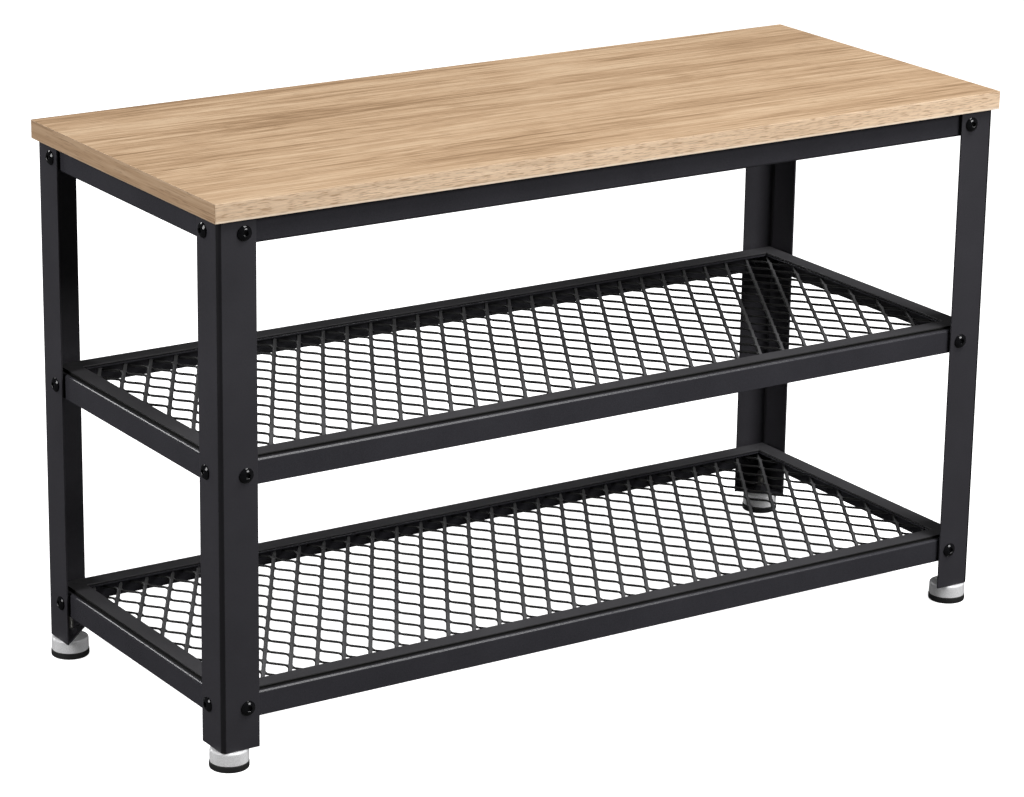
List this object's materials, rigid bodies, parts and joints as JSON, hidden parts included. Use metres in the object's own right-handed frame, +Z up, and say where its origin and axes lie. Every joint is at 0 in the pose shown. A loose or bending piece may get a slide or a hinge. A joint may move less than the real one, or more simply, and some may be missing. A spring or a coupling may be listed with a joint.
{
  "type": "entryway bench",
  "caption": "Low entryway bench with a flat oak-faced seat board on a screwed black steel frame, two open expanded-metal shoe shelves below and levelling feet.",
  "frame": {"origin": "centre of the bounding box on the floor, under the middle of the bench", "axes": "+X along the length of the bench, +Y from the front to the rear, +Z up; the front is the -Y side"},
  "size_m": [0.73, 0.3, 0.445],
  "materials": {
    "oak_board": "satin oak-grain laminate",
    "black_frame": "semi-matt powder coat",
    "black_screw": "glossy black",
    "white_plastic": "moulded satin white",
    "black_rubber": "matt moulded black",
    "zinc_steel": "bright zinc plate"
  },
  "bodies": {
    "frame": {"seat_board": "oak_board", "board_screw_front_left": "zinc_steel", "board_screw_front_right": "zinc_steel", "board_screw_rear_right": "zinc_steel", "board_screw_rear_left": "zinc_steel", "top_front_rail": "black_frame", "top_right_rail": "black_frame", "top_rear_rail": "black_frame", "top_left_rail": "black_frame", "upper_shelf_front_rail": "black_frame", "upper_shelf_right_rail": "black_frame", "upper_shelf_rear_rail": "black_frame", "upper_shelf_left_rail": "black_frame", "lower_shelf_front_rail": "black_frame", "lower_shelf_right_rail": "black_frame", "lower_shelf_rear_rail": "black_frame", "lower_shelf_left_rail": "black_frame", "upper_shelf_mesh_panel": "black_frame", "lower_shelf_mesh_panel": "black_frame", "leg_front_left": "black_frame", "leg_front_right": "black_frame", "leg_rear_right": "black_frame", "leg_rear_left": "black_frame", "top_front_rail_screw_left": "black_screw", "top_front_rail_screw_right": "black_screw", "top_right_rail_screw_front": "black_screw", "top_right_rail_screw_rear": "black_screw", "top_rear_rail_screw_left": "black_screw", "top_rear_rail_screw_right": "black_screw", "top_left_rail_screw_front": "black_screw", "top_left_rail_screw_rear": "black_screw", "upper_shelf_front_rail_screw_left": "black_screw", "upper_shelf_front_rail_screw_right": "black_screw", "upper_shelf_right_rail_screw_front": "black_screw", "upper_shelf_right_rail_screw_rear": "black_screw", "upper_shelf_rear_rail_screw_left": "black_screw", "upper_shelf_rear_rail_screw_right": "black_screw", "upper_shelf_left_rail_screw_front": "black_screw", "upper_shelf_left_rail_screw_rear": "black_screw", "lower_shelf_front_rail_screw_left": "black_screw", "lower_shelf_front_rail_screw_right": "black_screw", "lower_shelf_right_rail_screw_front": "black_screw", "lower_shelf_right_rail_screw_rear": "black_screw", "lower_shelf_rear_rail_screw_left": "black_screw", "lower_shelf_rear_rail_screw_right": "black_screw", "lower_shelf_left_rail_screw_front": "black_screw", "lower_shelf_left_rail_screw_rear": "black_screw"},
    "foot_front_left": {"foot_pad_front_left": "black_rubber", "foot_cap_front_left": "white_plastic", "foot_stem_front_left": "zinc_steel"},
    "foot_front_right": {"foot_pad_front_right": "black_rubber", "foot_cap_front_right": "white_plastic", "foot_stem_front_right": "zinc_steel"},
    "foot_rear_right": {"foot_pad_rear_right": "black_rubber", "foot_cap_rear_right": "white_plastic", "foot_stem_rear_right": "zinc_steel"},
    "foot_rear_left": {"foot_pad_rear_left": "black_rubber", "foot_cap_rear_left": "white_plastic", "foot_stem_rear_left": "zinc_steel"}
  },
  "joints": [
    {"name": "foot_front_left_height", "type": "slide", "parent": "frame", "child": "foot_front_left", "axis": [0, 0, -1], "range_m": [0, 0.01]},
    {"name": "foot_front_right_height", "type": "slide", "parent": "frame", "child": "foot_front_right", "axis": [0, 0, -1], "range_m": [0, 0.01]},
    {"name": "foot_rear_right_height", "type": "slide", "parent": "frame", "child": "foot_rear_right", "axis": [0, 0, -1], "range_m": [0, 0.01]},
    {"name": "foot_rear_left_height", "type": "slide", "parent": "frame", "child": "foot_rear_left", "axis": [0, 0, -1], "range_m": [0, 0.01]}
  ]
}
